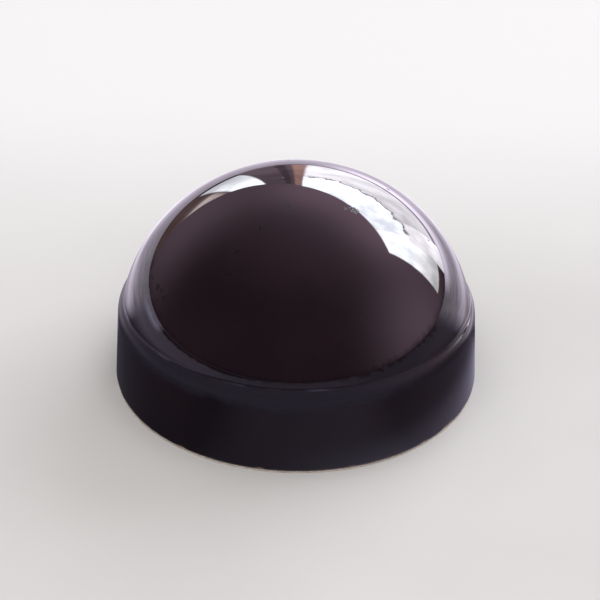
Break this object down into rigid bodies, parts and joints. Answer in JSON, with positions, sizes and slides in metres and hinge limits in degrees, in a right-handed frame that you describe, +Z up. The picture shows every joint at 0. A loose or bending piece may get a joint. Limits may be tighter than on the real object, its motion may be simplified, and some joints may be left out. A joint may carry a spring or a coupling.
{
  "type": "rosin cake",
  "caption": "Domed cake of bow rosin: a glossy near-black plum dome that meets a low drafted drum at a tight crease inside a narrow round shoulder, standing flat on a thin disc of card.",
  "frame": {"origin": "centre of the flat underside, where the cake stands on a table", "axes": "+Z up along the cake's axis of revolution, from the flat underside to the top of the dome"},
  "size_m": [0.05, 0.05, 0.0293],
  "materials": {
    "rosin": "polished",
    "card": "matte"
  },
  "bodies": {
    "root": {"rosin_cake": "rosin", "backing_disc": "card"}
  },
  "joints": []
}
